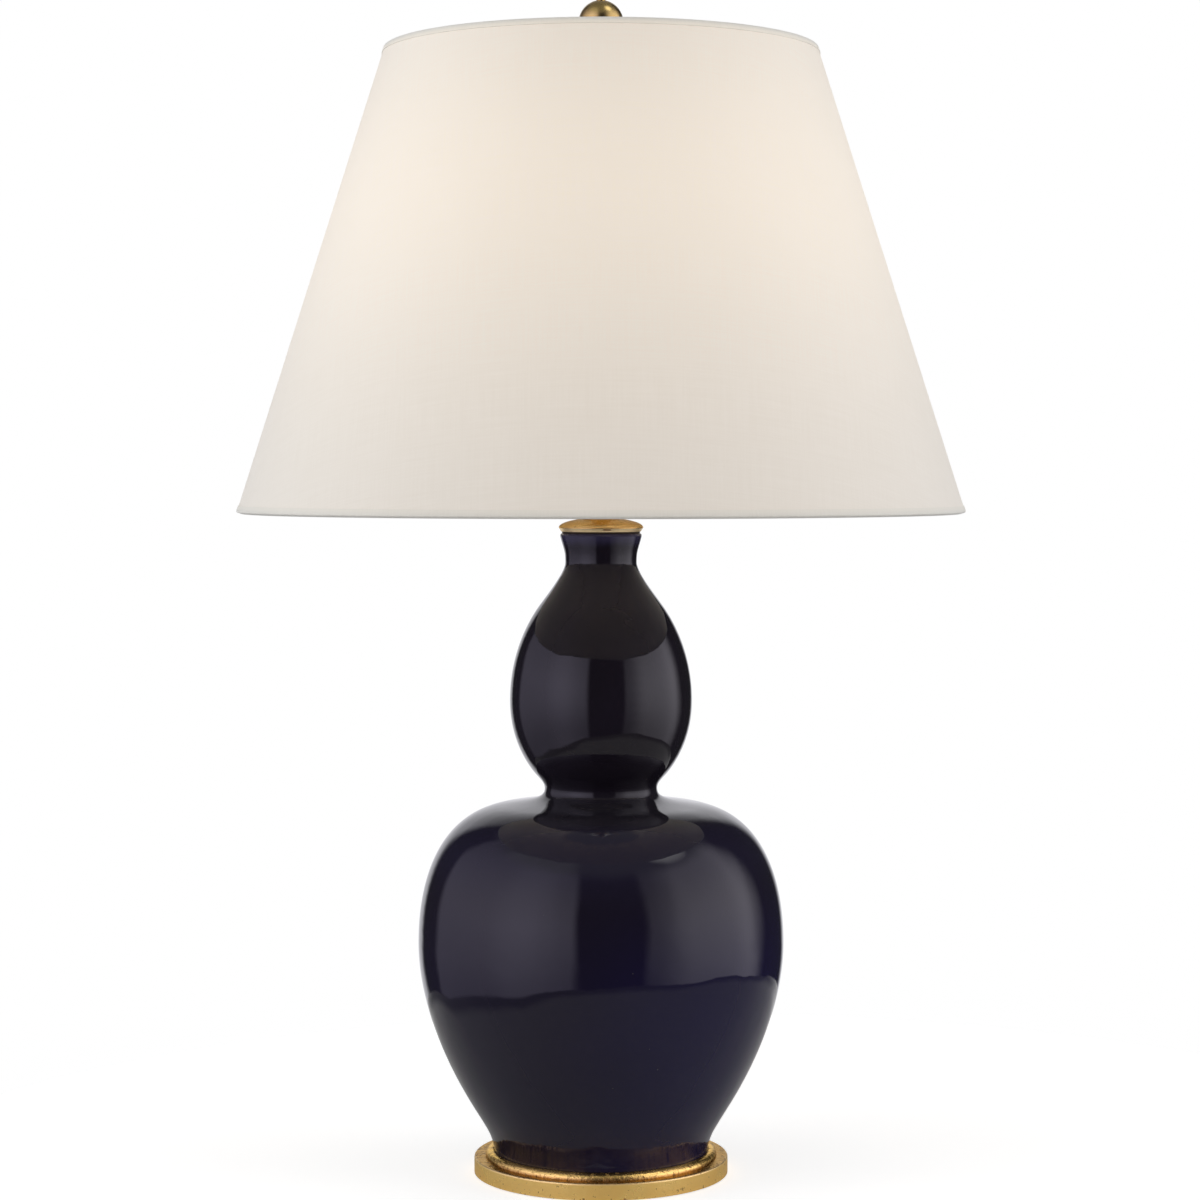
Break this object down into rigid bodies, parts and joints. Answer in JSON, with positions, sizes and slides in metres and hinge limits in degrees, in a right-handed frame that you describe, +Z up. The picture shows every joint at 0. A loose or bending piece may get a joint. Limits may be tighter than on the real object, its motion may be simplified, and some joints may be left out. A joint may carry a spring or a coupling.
{
  "type": "table lamp",
  "caption": "Table lamp with a dark glazed double-gourd body on a gilded plinth, a tapered linen shade on a wire harp, a screw socket with a turn switch and a ball finial.",
  "frame": {"origin": "on the lamp's axis, on the surface that it stands on", "axes": "+Z up along the lamp's axis; -Y towards the front, with the switch knob; +X to the right"},
  "size_m": [0.5052, 0.5052, 0.8206],
  "materials": {
    "felt": "matt felt",
    "gilt_wood": "distressed gold leaf",
    "glaze": "deep navy-black gloss glaze",
    "gasket": "matt",
    "bushing": "moulded",
    "steel": "zinc plated",
    "brass": "satin",
    "aged_brass": "aged, polished",
    "board": "insulating board",
    "phenolic": "moulded",
    "knob": "moulded, fluted",
    "aluminium": "drawn sheet",
    "bulb_glass": "clear",
    "vitrite": "fused",
    "solder": "dull",
    "linen": "plain woven linen",
    "liner": "white sheet",
    "trim": "folded bias tape"
  },
  "bodies": {
    "base": {"felt_pad": "felt", "base_plinth": "gilt_wood", "cord_bushing": "bushing", "foot_gasket": "gasket", "gourd_body": "glaze", "cap_gasket": "gasket", "neck_cap": "gilt_wood", "threaded_pipe": "steel", "base_washer": "steel", "base_lock_washer": "steel", "base_nut": "steel", "neck_spindle": "brass", "harp_saddle": "brass", "saddle_nut": "brass", "socket_cap": "brass", "socket_set_screw": "brass", "socket_shell": "brass", "socket_liner": "board", "socket_body": "phenolic", "terminal_screws": "brass", "screw_shell": "aluminium", "centre_contact": "brass"},
    "knob": {"switch_knob": "knob", "switch_shaft": "steel"},
    "bulb": {"bulb_glass": "bulb_glass", "bulb_screw_cap": "aluminium", "bulb_insulator": "vitrite", "bulb_tip": "solder", "bulb_stem": "bulb_glass", "bulb_filament": "steel"},
    "harp": {"harp_bow": "brass", "harp_stud": "brass"},
    "sleeve_left": {"harp_sleeve_left": "brass"},
    "sleeve_right": {"harp_sleeve_right": "brass"},
    "shade": {"shade_fabric": "linen", "shade_liner": "liner", "top_ring": "brass", "bottom_ring": "brass", "top_trim": "trim", "bottom_trim": "trim", "spider_arms": "brass", "spider_washer": "brass"},
    "finial": {"finial": "aged_brass"}
  },
  "joints": [
    {"name": "harp_lift", "type": "slide", "parent": "base", "child": "harp", "axis": [0, 0, 1], "range_m": [0, 0.22]},
    {"name": "sleeve_left_lift", "type": "slide", "parent": "harp", "child": "sleeve_left", "axis": [0, 0, 1], "range_m": [0, 0.014]},
    {"name": "sleeve_right_lift", "type": "slide", "parent": "harp", "child": "sleeve_right", "axis": [0, 0, 1], "range_m": [0, 0.014]},
    {"name": "shade_turn", "type": "hinge", "parent": "harp", "child": "shade", "pos_m": [0, 0, 0.7736], "axis": [0, 0, 1], "continuous": true},
    {"name": "finial_turn", "type": "hinge", "parent": "harp", "child": "finial", "pos_m": [0, 0, 0.7756], "axis": [0, 0, 1], "continuous": true},
    {"name": "switch_turn", "type": "hinge", "parent": "base", "child": "knob", "pos_m": [0, -0.025, 0.5375], "axis": [0, -1, 0], "continuous": true},
    {"name": "bulb_turn", "type": "hinge", "parent": "base", "child": "bulb", "pos_m": [0, 0, 0.55285], "axis": [0, 0, 1], "continuous": true}
  ]
}
